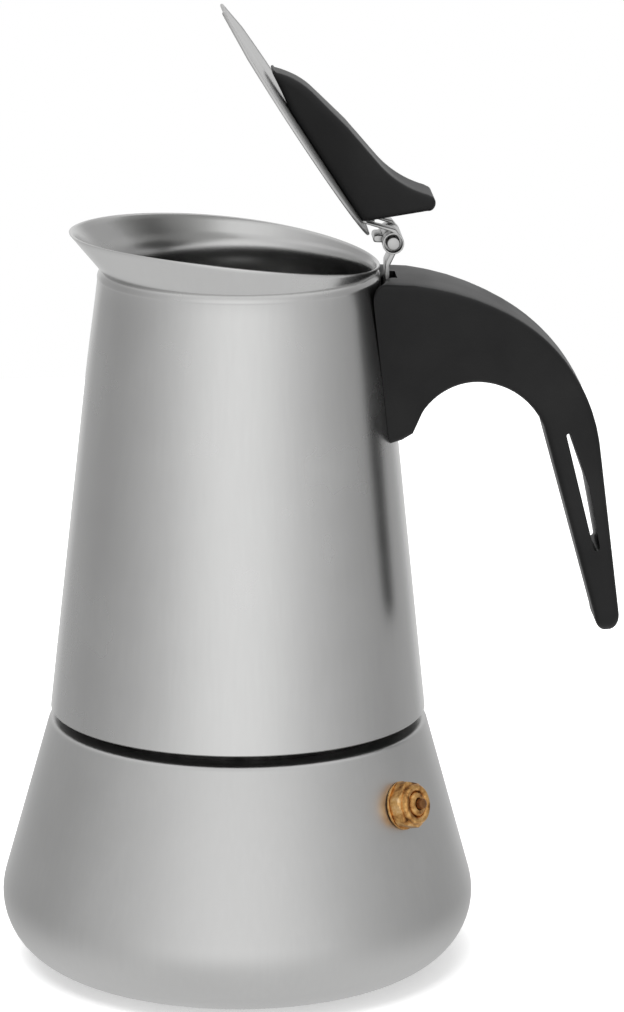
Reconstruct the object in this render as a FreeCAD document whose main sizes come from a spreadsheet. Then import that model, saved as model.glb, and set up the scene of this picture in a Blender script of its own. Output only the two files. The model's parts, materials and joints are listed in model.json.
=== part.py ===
"""Stove-top moka pot in stainless steel, a parametric assembly of separate pieces.

Frame: millimetres, +Z up, origin at the centre of the base on the surface it stands on,
+X towards the handle, -X towards the spout. The lid is modelled standing open.
"""
import FreeCAD, Part
import math
import os
import Sketcher

V = FreeCAD.Vector
DOC = FreeCAD.newDocument("moka_pot")
SHEET = DOC.addObject("Spreadsheet::Sheet", "Dims")


class Size:
    """A number that also carries the spreadsheet expression it comes from."""

    def __init__(self, value, text):
        self.value = float(value)
        self.text = text

    def __add__(self, other):
        return combine(self, other, "+", self.value + value_of(other))

    def __radd__(self, other):
        return combine(other, self, "+", value_of(other) + self.value)

    def __sub__(self, other):
        return combine(self, other, "-", self.value - value_of(other))

    def __rsub__(self, other):
        return combine(other, self, "-", value_of(other) - self.value)

    def __mul__(self, other):
        return combine(self, other, "*", self.value * value_of(other))

    def __rmul__(self, other):
        return combine(other, self, "*", value_of(other) * self.value)

    def __truediv__(self, other):
        return combine(self, other, "/", self.value / value_of(other))

    def __neg__(self):
        return Size(-self.value, "(0 - " + self.text + ")")


def value_of(size):
    return size.value if isinstance(size, Size) else float(size)


def text_of(size):
    return size.text if isinstance(size, Size) else repr(float(size))


def combine(left, right, sign, value):
    return Size(value, "(" + text_of(left) + " " + sign + " " + text_of(right) + ")")


# Driving dimensions: alias, millimetres or degrees, meaning.
DIMENSIONS = [
    ("sheet_wall", 0.8, "steel wall of the boiler and the upper pot"),
    ("flat_radius", 37.5, "flat underside of the boiler"),
    ("base_round", 15.1, "round between the underside and the side of the boiler"),
    ("round_end_radius", 52.05, "radius where the base round runs into the cone"),
    ("round_end_height", 19.34, "height where the base round runs into the cone"),
    ("boiler_top_radius", 41.9, "shoulder of the boiler"),
    ("boiler_top", 55.6, "height of the boiler's shoulder"),
    ("disc_radius", 35.0, "heat-spreading disc under the boiler"),
    ("disc_height", 2.5, "thickness of the heat-spreading disc"),
    ("neck_radius", 36.8, "outside of the boiler's neck"),
    ("neck_bore", 34.3, "inside of the boiler's neck"),
    ("neck_top", 66.0, "height of the neck's sealing rim"),
    ("neck_foot", 52.6, "height of the neck's lower end"),
    ("neck_crest", 37.8, "crest radius of the male thread"),
    ("thread_pitch", 3.0, "pitch of the screw thread"),
    ("crest_height", 1.1, "height of one thread crest"),
    ("ring_radius", 38.95, "root radius of the female thread"),
    ("ring_crest", 37.95, "crest radius of the female thread"),
    ("pot_foot_radius", 41.65, "upper pot at its lower edge"),
    ("pot_foot", 57.8, "height of the upper pot's lower edge"),
    ("pot_shoulder_radius", 31.21, "upper pot where the shoulder round starts"),
    ("pot_shoulder", 154.8, "height where the shoulder round starts"),
    ("shoulder_round", 2.2, "shoulder round under the collar"),
    ("crease_radius", 30.1, "waist between the shoulder and the collar"),
    ("crease_height", 156.35, "height of the waist"),
    ("flare_top", 168.0, "height of the ellipse the collar flares towards"),
    ("flare_shift", 1.0, "shift of that ellipse towards the spout"),
    ("flare_long", 39.0, "half length of that ellipse"),
    ("flare_wide", 33.5, "half width of that ellipse"),
    ("rim_arc", 417.0, "radius of the arched cut along the rim"),
    ("rim_arc_x", -46.6, "centre of the rim arc along the pot"),
    ("rim_arc_z", -252.2, "centre height of the rim arc"),
    ("floor_height", 70.0, "underside of the upper pot's floor"),
    ("floor_wall", 0.8, "floor thickness"),
    ("column_foot_radius", 9.0, "coffee column at its foot"),
    ("column_top_radius", 5.2, "coffee column at its top"),
    ("column_bore", 3.6, "bore of the coffee column"),
    ("column_top", 128.0, "height of the column under its cap"),
    ("cap_height", 9.0, "height of the column cap"),
    ("funnel_radius", 32.4, "outside of the funnel basket"),
    ("funnel_wall", 0.6, "funnel sheet"),
    ("funnel_flange", 36.4, "funnel flange"),
    ("funnel_floor", 44.0, "height of the basket floor"),
    ("stem_radius", 4.0, "outside of the funnel stem"),
    ("stem_foot", 10.0, "lower end of the stem"),
    ("screen_wall", 0.5, "perforated sheet"),
    ("screen_hole", 0.7, "radius of a hole in a perforated sheet"),
    ("plate_radius", 28.9, "filter plate"),
    ("plate_height", 67.6, "underside of the filter plate"),
    ("gasket_bore", 29.3, "inside of the gasket"),
    ("gasket_radius", 36.9, "outside of the gasket"),
    ("gasket_low", 67.0, "underside of the gasket"),
    ("gasket_high", 69.7, "top of the gasket"),
    ("valve_azimuth", -40.1, "safety valve, turned from the handle"),
    ("valve_tilt", 15.36, "safety valve axis above the horizontal"),
    ("valve_reach", 45.44, "radius of the cone under the valve"),
    ("valve_height", 42.8, "height of the valve on the cone"),
    ("valve_shank", 4.0, "threaded shank of the valve"),
    ("valve_chamber", 2.7, "spring chamber of the valve"),
    ("valve_flats", 9.6, "valve hexagon across its flats"),
    ("pin_x", 33.15, "hinge pin along the pot"),
    ("pin_z", 163.13, "hinge pin height"),
    ("pin_radius", 1.45, "hinge pin"),
    ("pin_half", 8.0, "half length of the hinge pin"),
    ("knuckle_radius", 2.4, "outside of the hinge knuckles"),
    ("knuckle_bore", 1.52, "bore of the turning knuckles"),
    ("leaf_half", 7.5, "half width of the lid leaf"),
    ("leaf_gap", 3.9, "half width of the gap for the fixed knuckle"),
    ("bracket_half", 3.6, "half width of the hinge bracket"),
    ("lid_open", 56.65, "angle at which the lid stands open"),
    ("lid_radius", 31.0, "lid"),
    ("lid_front", 62.2, "front edge of the lid from the hinge pin"),
    ("lid_back", 5.05, "back edge of the lid from the hinge pin"),
    ("lid_front_half", 7.0, "half width of the pouring beak"),
    ("lid_back_half", 10.0, "half width of the back edge"),
    ("lid_sink", 3.1, "outer face of the lid below the hinge pin"),
    ("beak_start", 53.5, "where the round of the lid runs into the beak, from the pin"),
    ("beak_start_half", 24.4, "half width of the lid where the beak starts"),
    ("lid_wall", 0.5, "lid sheet"),
    ("leaf_end", 12.6, "end of the hinge leaf on the lid, from the pin"),
    ("knob_screw_at", 15.6, "screw of the knob, from the pin"),
    ("knob_half", 8.5, "half width of the knob"),
    ("handle_half", 13.5, "half width of the handle at the pot"),
    ("handle_tip_half", 6.5, "half width of the handle at its tip"),
    ("tongue_low", 141.0, "underside of the handle bracket's tongue"),
    ("tongue_height", 2.6, "thickness of the tongue"),
    ("tongue_end", 51.0, "outer end of the tongue"),
    ("handle_screw_x", 46.5, "handle screw along the pot"),
    ("screw_head_low", 133.4, "underside of the handle screw's head"),
    ("screw_head", 2.3, "height of the handle screw's head"),
    ("gap", 0.05, "assembly gap between pieces fixed together"),
]


class Sizes:
    """The driving dimensions by name."""


D = Sizes()


def fill_sheet():
    """Writes every driving dimension to the spreadsheet as a plain number with an alias."""
    for row, (alias, number, meaning) in enumerate(DIMENSIONS, start=1):
        SHEET.set(f"A{row}", alias)
        SHEET.set(f"B{row}", str(number))
        SHEET.set(f"C{row}", meaning)
        SHEET.setAlias(f"B{row}", alias)
        setattr(D, alias, Size(number, "Dims." + alias))
    DOC.recompute()


def bind(thing, prop, size):
    """Sets a property and ties it to the sheet."""
    if isinstance(size, Size):
        thing.setExpression(prop, size.text)
    else:
        setattr(thing, prop, size)


class Arc:
    """An outline corner reached by an arc of a radius: positive turns left, negative right."""

    def __init__(self, x, y, radius):
        self.x = x
        self.y = y
        self.radius = radius


def arc_centre(start, end, radius):
    chord = end - start
    half = chord.Length / 2
    rise = math.sqrt(max(radius * radius - half * half, 0.0))
    side = V(-chord.y, chord.x, 0).normalize() * (rise if radius > 0 else -rise)
    return (start + end) * 0.5 + side


def pin_point(sketch, edge, point, x, y):
    """Ties one point of a sketch to the sheet."""
    for kind, size, axis in (("DistanceX", x, -2), ("DistanceY", y, -1)):
        if value_of(size) == 0:
            sketch.addConstraint(Sketcher.Constraint("PointOnObject", edge, point, axis))
            continue
        number = sketch.addConstraint(
            Sketcher.Constraint(kind, -1, 1, edge, point, value_of(size)))
        if isinstance(size, Size):
            sketch.setExpression(f"Constraints[{number}]", size.text)


def new_sketch(body, plane, name, offset=0.0):
    sketch = body.newObject("Sketcher::SketchObject", name)
    origin = [o for o in body.Origin.OriginFeatures if o.Role == plane][0]
    sketch.AttachmentSupport = [(origin, "")]
    sketch.MapMode = "FlatFace"
    if isinstance(offset, Size):
        sketch.setExpression("AttachmentOffset.Base.z", offset.text)
    elif offset:
        sketch.AttachmentOffset = FreeCAD.Placement(V(0, 0, offset), FreeCAD.Rotation())
    return sketch


def draw_outline(sketch, corners):
    """A closed outline of lines and arcs; an Arc corner is the end of its own arc."""
    spots = []
    for corner in corners:
        x, y = (corner.x, corner.y) if isinstance(corner, Arc) else corner
        spots.append((x, y, V(value_of(x), value_of(y), 0)))
    ends = []
    for index, corner in enumerate(corners):
        start = spots[index - 1][2]
        end = spots[index][2]
        if not isinstance(corner, Arc):
            edge = sketch.addGeometry(Part.LineSegment(start, end))
            ends.append((edge, 1, 2))
            continue
        radius = value_of(corner.radius)
        centre = arc_centre(start, end, radius)
        first, last = (start, end) if radius > 0 else (end, start)
        circle = Part.Circle(centre, V(0, 0, 1), abs(radius))
        low = math.atan2(first.y - centre.y, first.x - centre.x)
        high = math.atan2(last.y - centre.y, last.x - centre.x)
        edge = sketch.addGeometry(Part.ArcOfCircle(circle, low, high))
        ends.append((edge, 1, 2) if radius > 0 else (edge, 2, 1))
        number = sketch.addConstraint(Sketcher.Constraint("Radius", edge, abs(radius)))
        if isinstance(corner.radius, Size):
            sign = "" if radius > 0 else "0 - "
            sketch.setExpression(f"Constraints[{number}]", sign + corner.radius.text)
    for index, (x, y, _) in enumerate(spots):
        edge, _, last = ends[index]
        after, first, _ = ends[(index + 1) % len(ends)]
        sketch.addConstraint(Sketcher.Constraint("Coincident", edge, last, after, first))
        pin_point(sketch, edge, last, x, y)


def draw_circle(sketch, x, y, radius):
    centre = V(value_of(x), value_of(y), 0)
    edge = sketch.addGeometry(Part.Circle(centre, V(0, 0, 1), value_of(radius)))
    number = sketch.addConstraint(Sketcher.Constraint("Radius", edge, value_of(radius)))
    if isinstance(radius, Size):
        sketch.setExpression(f"Constraints[{number}]", radius.text)
    pin_point(sketch, edge, 3, x, y)


def turned(label, corners):
    """A body turned about its own Z axis from (radius, height) corners."""
    body = DOC.addObject("PartDesign::Body", label)
    sketch = new_sketch(body, "XZ_Plane", label + "_profile")
    draw_outline(sketch, corners)
    turn = body.newObject("PartDesign::Revolution", label + "_turn")
    turn.Profile = sketch
    turn.ReferenceAxis = (sketch, ["V_Axis"])
    turn.Angle = 360
    return body


def tube(label, bore, outside, low, high):
    return turned(label, [(bore, low), (outside, low), (outside, high), (bore, high)])


def rod(label, radius, low, high):
    return turned(label, [(0, low), (radius, low), (radius, high), (0, high)])


def padded(label, plane, corners, length, start=0.0, symmetric=False, holes=()):
    """A body padded from an outline on one of its own planes, with round holes."""
    body = DOC.addObject("PartDesign::Body", label)
    sketch = new_sketch(body, plane, label + "_outline", start)
    draw_outline(sketch, corners)
    for x, y, radius in holes:
        draw_circle(sketch, x, y, radius)
    pad = body.newObject("PartDesign::Pad", label + "_pad")
    pad.Profile = sketch
    pad.Length = value_of(length)
    bind(pad, "Length", length)
    if symmetric:
        pad.SideType = "Symmetric"
    return body


def block(label, low, high):
    """A plain box between two corners, used as a cutter."""
    box = DOC.addObject("Part::Box", label)
    for prop, side in zip(("Length", "Width", "Height"), range(3)):
        bind(box, prop, Size(0, "0") + (high[side] - low[side]))
    for axis, corner in zip("xyz", low):
        box.setExpression("Placement.Base." + axis, text_of(corner))
    return box


def joined(label, pieces):
    fuse = DOC.addObject("Part::MultiFuse", label)
    fuse.Shapes = pieces
    return fuse


def cut(label, base, tool):
    result = DOC.addObject("Part::Cut", label)
    result.Base = base
    result.Tool = tool
    return result


def common(label, first, second):
    result = DOC.addObject("Part::Common", label)
    result.Base = first
    result.Tool = second
    return result


def across(label, radius, half, x, z):
    """A cylinder along Y, centred on the pot's middle plane."""
    body = rod(label, radius, -half, half)
    body.Placement = FreeCAD.Placement(V(0, 0, 0), FreeCAD.Rotation(V(1, 0, 0), 90))
    if value_of(x) or value_of(z):
        body.setExpression("Placement.Base.x", text_of(x))
        body.setExpression("Placement.Base.z", text_of(z))
    return body


# ---------------------------------------------------------------- boiler

def boiler_shell():
    """Spun steel boiler: flat underside, large base round, straight cone, flat shoulder."""
    wall = D.sheet_wall
    inner_round = D.base_round - wall
    corner_x = D.disc_radius + D.gap * 4
    sill = 0.2
    blank = turned("boiler_shell_blank", [
        (0, D.disc_height),
        (corner_x, D.disc_height),
        (corner_x, sill),
        (D.flat_radius, sill),
        Arc(D.round_end_radius, D.round_end_height, D.base_round),
        (D.boiler_top_radius, D.boiler_top),
        (D.neck_radius + D.gap, D.boiler_top),
        (D.neck_radius + D.gap, D.boiler_top - wall),
        (D.boiler_top_radius - wall * 1.32, D.boiler_top - wall),
        (D.round_end_radius - wall, D.round_end_height - 0.22),
        Arc(D.flat_radius + 4.2, D.disc_height + wall, -inner_round),
        (0, D.disc_height + wall),
    ])
    hole = rod("valve_hole", D.valve_shank + D.gap * 2, -5.0, 5.0)
    hole.Placement = valve_place()
    return cut("boiler_shell", blank, hole)


def base_disc():
    """Heat-spreading disc under the boiler, with a broken lower edge."""
    edge = 0.6
    return turned("base_disc", [
        (0, 0),
        (D.disc_radius - edge, 0),
        (D.disc_radius, edge),
        (D.disc_radius, D.disc_height - D.gap),
        (0, D.disc_height - D.gap),
    ])


def thread_crests(root, crest, first, count):
    """Corners of the ridges that stand in for a screw thread, going up."""
    corners = []
    half = D.crest_height / 2
    for turn in range(count):
        middle = first + D.thread_pitch * turn
        corners += [(root, middle - half), (crest, middle - half * 0.4)]
        corners += [(crest, middle + half * 0.4), (root, middle + half)]
    return corners


def boiler_neck():
    """Rolled neck with the male thread; its rim seals against the funnel flange."""
    crests = thread_crests(D.neck_radius, D.neck_crest, D.boiler_top + 4.0, 2)
    return turned("boiler_neck", [(D.neck_bore, D.neck_foot), (D.neck_radius, D.neck_foot)]
                  + crests + [(D.neck_radius, D.neck_top), (D.neck_bore, D.neck_top)])


# ---------------------------------------------------------------- safety valve

def valve_place():
    """Placement of the valve: local Z along its axis, zero on the boiler's cone."""
    turn = value_of(D.valve_azimuth)
    reach = value_of(D.valve_reach)
    place = V(reach * math.cos(math.radians(turn)), reach * math.sin(math.radians(turn)),
              value_of(D.valve_height))
    return FreeCAD.Placement(place, FreeCAD.Rotation(turn, 90 - value_of(D.valve_tilt), 0))


def valve_parts():
    """Hexagon body, sealing washer, lock nut inside, pressed cap, spring and poppet."""
    place = valve_place()
    shank_end = -6.0
    seat = -4.6
    washer_top = 0.6
    hex_top = 3.4
    boss_top = hex_top + 1.3
    round_hex = D.valve_flats / 2 + 0.45
    boss = D.valve_flats / 2 - 0.4
    cap_low = boss_top - 1.5
    cap_radius = D.valve_chamber - 0.01
    stem = 1.15
    pin_top = boss_top + 1.6
    body_round = turned("valve_body_round", [
        (1.6, shank_end), (D.valve_shank, shank_end), (D.valve_shank, washer_top),
        (round_hex, washer_top), (round_hex, hex_top - 0.4), (boss, hex_top),
        (boss, boss_top), (D.valve_chamber, boss_top), (D.valve_chamber, seat), (1.6, seat),
    ])
    flats = DOC.addObject("Part::Prism", "valve_hexagon")
    flats.Polygon = 6
    bind(flats, "Circumradius", D.valve_flats / math.sqrt(3))
    flats.Height = 30
    flats.Placement = FreeCAD.Placement(V(0, 0, -15), FreeCAD.Rotation(V(0, 0, 1), 10))
    body = common("valve_body", body_round, flats)
    cap = turned("valve_cap", [
        (1.2, cap_low), (cap_radius, cap_low), (cap_radius, boss_top - 0.1),
        (cap_radius - 0.5, boss_top + 0.4), (1.2, boss_top + 0.7),
    ])
    nut_round = tube("valve_nut_round", D.valve_shank + 0.01, 7.0, -4.4, -1.5)
    nut_flats = DOC.addObject("Part::Prism", "valve_nut_hexagon")
    nut_flats.Polygon = 6
    nut_flats.Circumradius = 6.9
    nut_flats.Height = 12
    nut_flats.Placement = FreeCAD.Placement(V(0, 0, -8), FreeCAD.Rotation())
    nut = common("valve_locknut", nut_round, nut_flats)
    poppet = turned("valve_poppet", [
        (0, seat + 0.02), (2.4, seat + 0.02), (2.4, seat + 1.2), (stem, seat + 1.2),
        (stem, pin_top - 0.4), (stem - 0.5, pin_top), (0, pin_top),
    ])
    spring = tube("valve_spring", 1.5, 2.4, seat + 1.22, cap_low - 0.05)
    ring = tube("valve_washer_blank", D.valve_shank + 0.02, 5.3, -1.2, washer_top - 0.01)
    for piece in (body, cap, nut, poppet, spring, ring):
        piece.Placement = place
    cone = DOC.addObject("Part::Cone", "boiler_cone")
    bind(cone, "Radius1", D.round_end_radius + 0.02)
    bind(cone, "Radius2", D.boiler_top_radius + 0.02)
    bind(cone, "Height", D.boiler_top - D.round_end_height)
    cone.setExpression("Placement.Base.z", D.round_end_height.text)
    washer = cut("valve_washer", ring, cone)
    return [body, cap, nut, poppet, spring, washer]


# ---------------------------------------------------------------- funnel and filters

def perforated(label, radius, low, rings, pitch):
    """A round sheet with rings of small holes, the rings spaced evenly from the middle."""
    body = rod(label, radius, low, low + D.screen_wall)
    base = body.Tip
    DOC.recompute()
    for ring in range(1, rings + 1):
        sketch = new_sketch(body, "XY_Plane", f"{label}_hole_{ring}", low + D.screen_wall)
        draw_circle(sketch, pitch * ring, 0, D.screen_hole)
        hole = body.newObject("PartDesign::Pocket", f"{label}_pocket_{ring}")
        hole.Profile = sketch
        hole.Type = "ThroughAll"
        pattern = body.newObject("PartDesign::PolarPattern", f"{label}_ring_{ring}")
        pattern.Originals = [hole]
        pattern.Axis = (sketch, ["N_Axis"])
        pattern.Angle = 360
        pattern.Occurrences = 6 * ring
        body.Tip = pattern
    DOC.recompute()
    lost = base.Shape.Volume - body.Shape.Volume
    count = sum(6 * ring for ring in range(1, rings + 1))
    each = math.pi * value_of(D.screen_hole) ** 2 * value_of(D.screen_wall)
    if abs(lost - count * each) > 0.02 * count * each:
        raise RuntimeError(f"{label}: the holes removed {lost}, expected {count * each}")
    return body


def funnel():
    """Basket for the grounds on a long stem, hung by its flange on the neck."""
    wall = D.funnel_wall
    flange_low = D.neck_top + 0.05
    inner = D.funnel_radius - wall
    hole = D.stem_radius - wall
    return turned("funnel", [
        (hole, D.stem_foot),
        (D.stem_radius, D.stem_foot),
        (D.stem_radius, D.funnel_floor - 5.0),
        (D.funnel_radius, D.funnel_floor - 1.0),
        (D.funnel_radius, flange_low),
        (D.funnel_flange, flange_low),
        (D.funnel_flange, flange_low + wall),
        (inner, flange_low + wall),
        (inner, D.funnel_floor - 1.0 + wall),
        (hole, D.funnel_floor - 5.0 + wall),
    ])


def funnel_screen():
    """Perforated plate on the floor of the basket."""
    return perforated("funnel_screen", D.funnel_radius - D.funnel_wall - 0.1,
                      D.funnel_floor, 5, 5.4)


def filter_plate():
    """Perforated plate under the upper pot, held in the gasket."""
    return perforated("filter_plate", D.plate_radius, D.plate_height, 5, 4.9)


def gasket():
    """Flat sealing ring between the funnel flange and the upper pot's floor."""
    soft = 0.4
    return turned("gasket", [
        (D.gasket_bore, D.gasket_low), (D.gasket_radius - soft, D.gasket_low),
        (D.gasket_radius, D.gasket_low + soft), (D.gasket_radius, D.gasket_high - soft),
        (D.gasket_radius - soft, D.gasket_high), (D.gasket_bore, D.gasket_high),
    ])


# ---------------------------------------------------------------- upper pot

def pot_radius(height):
    """Outer radius of the upper pot's cone at a height."""
    fall = (D.pot_foot_radius - D.pot_shoulder_radius) / (D.pot_shoulder - D.pot_foot)
    return D.pot_foot_radius - fall * (height - D.pot_foot)


def flare(label, inset):
    """The collar's flare: ruled from the waist to a wider ellipse set towards the spout."""
    waist = DOC.addObject("Part::Circle", label + "_waist")
    waist.Radius = value_of(D.crease_radius - inset)
    bind(waist, "Radius", D.crease_radius - inset)
    waist.setExpression("Placement.Base.z", D.crease_height.text)
    mouth = DOC.addObject("Part::Ellipse", label + "_mouth")
    mouth.MajorRadius = value_of(D.flare_long - inset)
    mouth.MinorRadius = value_of(D.flare_wide - inset)
    bind(mouth, "MajorRadius", D.flare_long - inset)
    bind(mouth, "MinorRadius", D.flare_wide - inset)
    mouth.setExpression("Placement.Base.x", (-D.flare_shift).text)
    mouth.setExpression("Placement.Base.z", D.flare_top.text)
    loft = DOC.addObject("Part::Loft", label)
    loft.Sections = [waist, mouth]
    loft.Solid = True
    loft.Ruled = True
    return loft


def upper_shell():
    """Cone, shoulder round and oblique pouring collar, drawn from one sheet."""
    wall = D.sheet_wall
    body = turned("pot_cone", [
        (D.pot_foot_radius - wall, D.pot_foot),
        (D.pot_foot_radius, D.pot_foot),
        (D.pot_shoulder_radius, D.pot_shoulder),
        Arc(D.crease_radius, D.crease_height, D.shoulder_round),
        (D.crease_radius - wall, D.crease_height),
        Arc(D.pot_shoulder_radius - wall, D.pot_shoulder, wall - D.shoulder_round),
    ])
    outer = flare("collar_outside", Size(0, "0"))
    inner = flare("collar_inside", wall)
    collar = cut("collar_sheet", outer, inner)
    under = across("rim_arch", D.rim_arc, 60.0, D.rim_arc_x, D.rim_arc_z)
    trimmed = common("collar_trimmed", collar, under)
    return joined("upper_shell", [body, trimmed])


def pot_floor():
    """Floor of the upper pot, with the hole under the column."""
    edge = pot_radius(D.floor_height + D.floor_wall) - D.sheet_wall - 0.03
    return tube("pot_floor", D.column_bore, edge, D.floor_height, D.floor_height + D.floor_wall)


def thread_ring():
    """Ring with the female thread, welded inside the foot of the upper pot."""
    low = D.pot_foot + 0.8
    high = D.floor_height - 0.02
    inset = D.sheet_wall + 0.03
    crests = thread_crests(D.ring_radius, D.ring_crest, D.boiler_top + 5.5, 2)
    crests.reverse()
    return turned("thread_ring", [
        (D.ring_radius, low), (pot_radius(low) - inset, low), (pot_radius(high) - inset, high),
        (D.ring_radius, high),
    ] + crests)


def column():
    """Tube the coffee rises through, tapered, welded over the hole in the floor."""
    low = D.floor_height + D.floor_wall
    return turned("column", [
        (D.column_bore, low), (D.column_foot_radius, low),
        (D.column_foot_radius - 0.6, low + 1.2), (D.column_top_radius, D.column_top),
        (D.column_bore, D.column_top),
    ])


def column_cap():
    """Cap on the column with two side windows that the coffee pours from."""
    low = D.column_top
    high = low + D.cap_height
    solid = turned("cap_blank", [
        (D.column_bore, low), (D.column_top_radius + 0.9, low),
        (D.column_top_radius + 0.9, high - 2.0), (D.column_top_radius - 1.2, high),
        (0, high), (0, high - 1.2), (D.column_bore, high - 2.6),
    ])
    window = block("cap_window", (-2.0, -12.0, low + 2.2), (2.0, 12.0, low + 5.2))
    return cut("column_cap", solid, window)


# ---------------------------------------------------------------- handle

def handle_outline():
    """Side view of the handle: shoulder, long back, tip, inner edge and finger arch."""
    return [
        (27.0, 119.4),
        (32.0, 120.2),
        (37.6, 122.0),
        (38.4, 123.9),
        (39.3, 126.7),
        Arc(51.4, 133.2, -13.8),
        Arc(66.7, 122.1, -17.0),
        (79.0, 78.0),
        Arc(84.6, 76.6, 3.0),
        (79.4, 116.0),
        Arc(58.6, 147.75, 41.0),
        Arc(35.0, 155.0, 58.4),
        (27.0, 155.0),
    ]


def handle_plan():
    """Top view of the handle: full width at the pot, narrowing to the tip."""
    wide = D.handle_half
    narrow = D.handle_tip_half
    return [(20.0, -wide), (34.0, -wide), (48.0, -wide + 1.6), (74.0, -narrow - 1.2),
            (90.0, -narrow), (90.0, narrow), (74.0, narrow + 1.2), (48.0, wide - 1.6),
            (34.0, wide), (20.0, wide)]


def slot_outline():
    """Slender slot along the outer arm of the handle, rounded at both ends."""
    return [(78.1, 94.7), Arc(79.5, 94.9, 0.71), (78.4, 100.6), (76.8, 108.6), (72.6, 120.5),
            Arc(71.6, 120.3, 0.52)]


def handle_bracket():
    """Welded steel pad on the pot with a threaded tongue that reaches into the handle."""
    low = D.tongue_low
    top = low + D.tongue_height
    reach = 2.0
    side = 5.0
    face = pot_radius(low - reach) + D.gap
    pad = block("bracket_pad", (face, -side, low - reach), (face + 1.2, side, top + reach))
    tongue = block("bracket_tongue", (face, -side, low), (D.tongue_end, side, top))
    both = joined("bracket_blank", [pad, tongue])
    hole = rod("bracket_hole", 2.02, low - 10.0, top + 10.0)
    hole.setExpression("Placement.Base.x", D.handle_screw_x.text)
    return cut("handle_bracket", both, hole)


def handle():
    """Moulded handle hollowed for the bracket, the screw and the hinge strip."""
    side = padded("handle_side", "XZ_Plane", handle_outline(), 2 * D.handle_half,
                  symmetric=True)
    plan = padded("handle_top", "XY_Plane", handle_plan(), 110.0, start=60.0)
    solid = common("handle_blank", side, plan)
    slot = padded("handle_slot", "XZ_Plane", slot_outline(), 40.0, symmetric=True)
    cone = DOC.addObject("Part::Cone", "handle_seat")
    low = 100.0
    high = 170.0
    bind(cone, "Radius1", pot_radius(Size(low, str(low))) + D.gap)
    bind(cone, "Radius2", pot_radius(Size(high, str(high))) + D.gap)
    cone.Height = high - low
    cone.Placement.Base = V(0, 0, low)
    bracket_low = D.tongue_low - 2.2
    bracket_high = D.tongue_low + D.tongue_height + 2.2
    pad_room = block("pad_room", (28.0, -5.2, bracket_low), (34.7, 5.2, bracket_high))
    tongue_room = block("tongue_room", (28.0, -5.2, D.tongue_low - 0.1),
                        (D.tongue_end + 0.2, 5.2, D.tongue_low + D.tongue_height + 0.1))
    strip_room = block("strip_room", (28.0, -4.0, 145.2), (34.3, 4.0, 160.0))
    groove = block("handle_groove", (28.0, -9.5, 152.6), (34.3, 9.5, 160.0))
    screw_room = rod("screw_room", 2.2, 110.0, D.tongue_low + 5.0)
    head_room = rod("head_room", 3.9, 110.0, D.screw_head_low + D.screw_head + D.gap)
    for room in (screw_room, head_room):
        room.setExpression("Placement.Base.x", D.handle_screw_x.text)
    rooms = joined("handle_rooms", [slot, cone, pad_room, tongue_room, strip_room,
                                    groove, screw_room, head_room])
    return cut("handle", solid, rooms)


def handle_screw():
    """Pan-head screw up through the handle's root into the tongue, with a cross recess."""
    head_low = D.screw_head_low
    head_high = head_low + D.screw_head
    blank = turned("handle_screw_blank", [
        (0, head_low), (2.6, head_low), (3.7, head_low + 0.9), (3.7, head_high),
        (2.0, head_high), (2.0, D.tongue_low + D.tongue_height + 2.0),
        (0, D.tongue_low + D.tongue_height + 2.0),
    ])
    bars = [block("screw_bar_x", (-2.0, -0.4, 130.0), (2.0, 0.4, head_low + 1.1)),
            block("screw_bar_y", (-0.4, -2.0, 130.0), (0.4, 2.0, head_low + 1.1))]
    screw = cut("handle_screw", blank, joined("screw_cross", bars))
    screw.setExpression("Placement.Base.x", D.handle_screw_x.text)
    return screw


# ---------------------------------------------------------------- hinge

def hinge_bracket():
    """Fixed leaf: knuckle round the pin, stop tab, and a strip down behind the handle."""
    strip = padded("bracket_strip", "XZ_Plane", [
        (32.35, 146.0), (33.35, 146.0), (32.65, 153.2), (32.55, 157.3),
        (D.pin_x + 1.5, D.pin_z - 1.5), (D.pin_x + 0.0, D.pin_z - 2.0),
        (31.65, 158.1), (31.6, 153.2),
    ], 2 * D.bracket_half, symmetric=True)
    tab = padded("bracket_tab", "XZ_Plane", [
        (D.pin_x - 4.2, D.pin_z - 0.4), (D.pin_x - 1.8, D.pin_z - 0.4),
        (D.pin_x - 1.8, D.pin_z + 1.2), (D.pin_x - 3.4, D.pin_z + 1.2),
        Arc(D.pin_x - 4.2, D.pin_z + 0.4, 0.8),
    ], 2 * D.bracket_half, symmetric=True)
    knuckle = across("bracket_knuckle", D.knuckle_radius, D.bracket_half, D.pin_x, D.pin_z)
    bore = across("bracket_bore", D.pin_radius, 30.0, D.pin_x, D.pin_z)
    return cut("hinge_bracket", joined("bracket_leaf", [strip, tab, knuckle]), bore)


def hinge_pin():
    """Pin fixed in the bracket's knuckle, with lightly domed ends."""
    end = 0.35
    body = turned("hinge_pin", [
        (0, -D.pin_half), (D.pin_radius - end, -D.pin_half), (D.pin_radius, end - D.pin_half),
        (D.pin_radius, D.pin_half - end), (D.pin_radius - end, D.pin_half), (0, D.pin_half),
    ])
    body.Placement = FreeCAD.Placement(V(0, 0, 0), FreeCAD.Rotation(V(1, 0, 0), 90))
    body.setExpression("Placement.Base.x", D.pin_x.text)
    body.setExpression("Placement.Base.z", D.pin_z.text)
    return body


# ---------------------------------------------------------------- lid, in its own closed frame

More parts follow.
